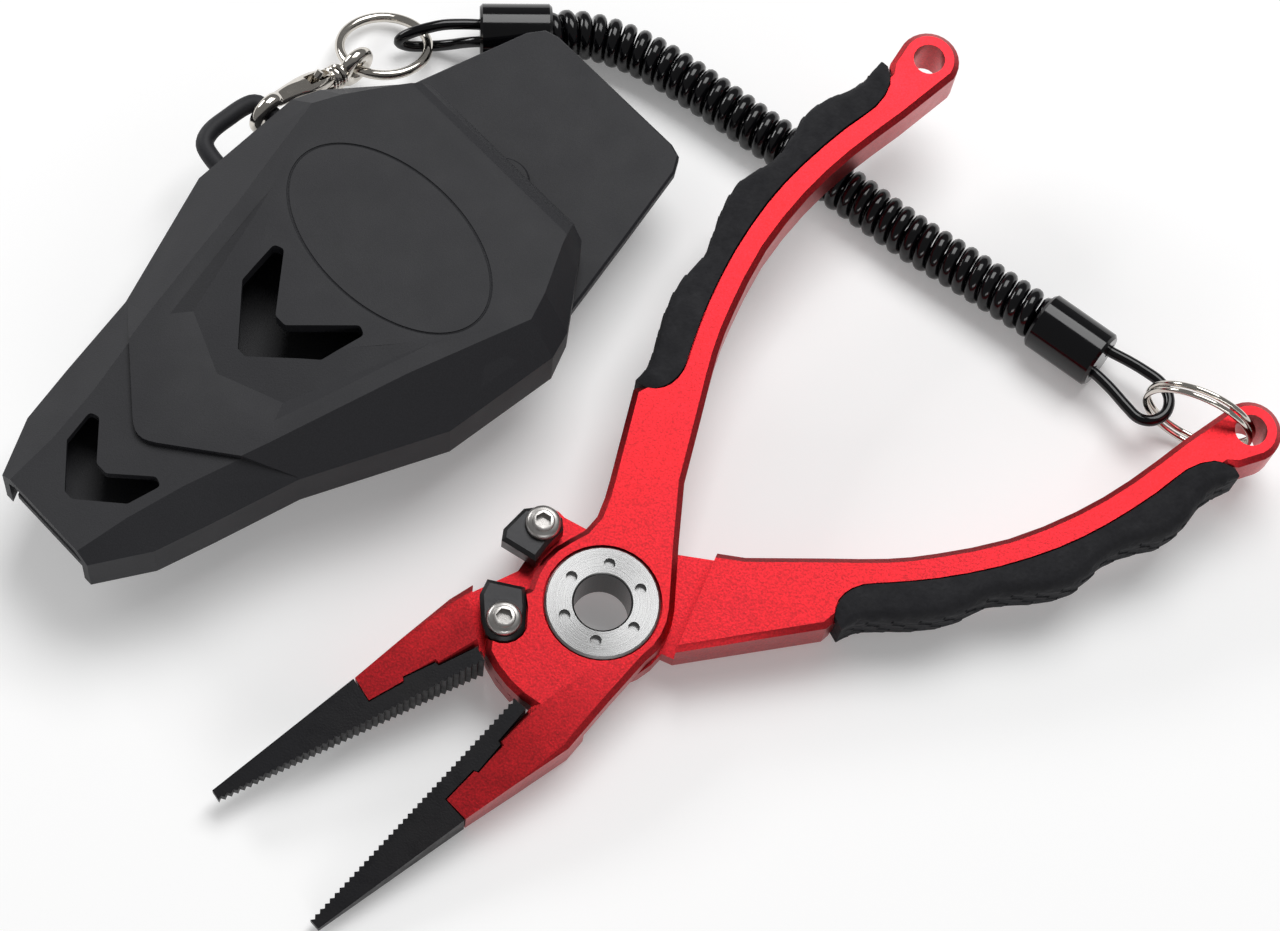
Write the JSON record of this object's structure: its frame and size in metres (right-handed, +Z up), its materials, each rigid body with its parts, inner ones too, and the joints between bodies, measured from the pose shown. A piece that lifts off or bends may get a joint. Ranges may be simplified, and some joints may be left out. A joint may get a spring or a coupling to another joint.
{
  "type": "fishing pliers with lanyard and sheath",
  "caption": "Sprung long-nose fishing pliers with side cutters and rubber grips, tied by a coiled lanyard to a moulded belt sheath with a swivelling clip.",
  "frame": {"origin": "bottom centre of the box round the pliers, rings, snap and sheath as laid out, on the surface they lie on", "axes": "+Z up from the surface, +X along the longest side of the layout from the sheath's tip towards the handle ends, +Y towards the lanyard's upper end"},
  "size_m": [0.2142, 0.1728, 0.026],
  "materials": {
    "red_anodised": "satin red anodised aluminium with darker chamfered edges",
    "grip_rubber": "matte stippled black rubber",
    "black_oxide": "black oxide steel, fine grained",
    "brushed_disc": "circular brushed stainless steel",
    "cutter_steel": "dark ground tool steel",
    "bright_stainless": "polished stainless steel",
    "nickel": "nickel plated, slightly warm",
    "gloss_cord": "glossy black plastic coated cord",
    "gloss_ferrule": "glossy black moulded plastic",
    "charcoal": "matt charcoal moulding with a fine spark texture"
  },
  "bodies": {
    "half_a": {"half_a": "red_anodised", "jaw_insert_a": "black_oxide", "grip_a": "grip_rubber", "cutter_a": "cutter_steel", "cutter_screw_a": "bright_stainless", "pivot_bushing": "brushed_disc", "pivot_nut": "brushed_disc", "thrust_washer": "bright_stainless", "torsion_spring": "bright_stainless", "lanyard_coil": "gloss_cord", "ferrule_lower": "gloss_ferrule", "crimp_sleeve_lower": "nickel", "cord_loop_lower": "gloss_cord"},
    "half_b": {"half_b": "red_anodised", "jaw_insert_b": "black_oxide", "grip_b": "grip_rubber", "cutter_b": "cutter_steel", "cutter_screw_b": "bright_stainless"},
    "split_ring": {"split_ring": "nickel"},
    "sheath": {"sheath_shell": "charcoal", "back_plate": "charcoal", "clip_hook": "nickel", "clip_pin": "bright_stainless", "ferrule_upper": "gloss_ferrule", "crimp_sleeve_upper": "nickel", "cord_loop_upper": "gloss_cord"},
    "belt_clip": {"belt_clip": "charcoal", "belt_clip_stud": "charcoal"},
    "clip_lever": {"clip_lever": "nickel"},
    "swivel_eye": {"clip_swivel_eye": "nickel"},
    "key_ring": {"key_ring": "nickel"}
  },
  "joints": [
    {"name": "pliers_pivot", "type": "hinge", "parent": "half_a", "child": "half_b", "pos_m": [-0.00829, -0.03184, 0.00753], "axis": [0.0054, -0.1137, 0.9935], "range_deg": [-20, 0], "stiffness_Nm_per_rad": 0.3, "springref_deg": 9.74, "deforming": ["torsion_spring"]},
    {"name": "split_ring_spin", "type": "hinge", "parent": "half_a", "child": "split_ring", "pos_m": [0.0939, 0.00504, 0.0112], "axis": [0.444, 0.8905, 0.0995], "continuous": true},
    {"name": "lanyard_stretch", "type": "slide", "parent": "half_a", "child": "sheath", "axis": [-0.8391, 0.544, 0], "range_m": [0, 0.25], "stiffness_N_per_m": 20, "deforming": ["lanyard_coil"]},
    {"name": "belt_clip_swivel", "type": "hinge", "parent": "sheath", "child": "belt_clip", "pos_m": [-0.02608, 0.04503, 0], "axis": [0, 0, 1], "range_deg": [-45, 45]},
    {"name": "snap_lever", "type": "hinge", "parent": "sheath", "child": "clip_lever", "pos_m": [-0.06055, 0.06424, 0.01006], "axis": [-0.7325, 0.6807, 0], "range_deg": [0, 20], "stiffness_Nm_per_rad": 0.01, "springref_deg": -17.19},
    {"name": "swivel_turn", "type": "hinge", "parent": "sheath", "child": "swivel_eye", "pos_m": [-0.06695, 0.05735, 0.015], "axis": [0.6247, 0.6723, -0.3971], "range_deg": [-12, 12]},
    {"name": "key_ring_spin", "type": "hinge", "parent": "sheath", "child": "key_ring", "pos_m": [-0.04764, 0.07824, 0.0042], "axis": [0, 0.309, 0.9511], "continuous": true}
  ]
}
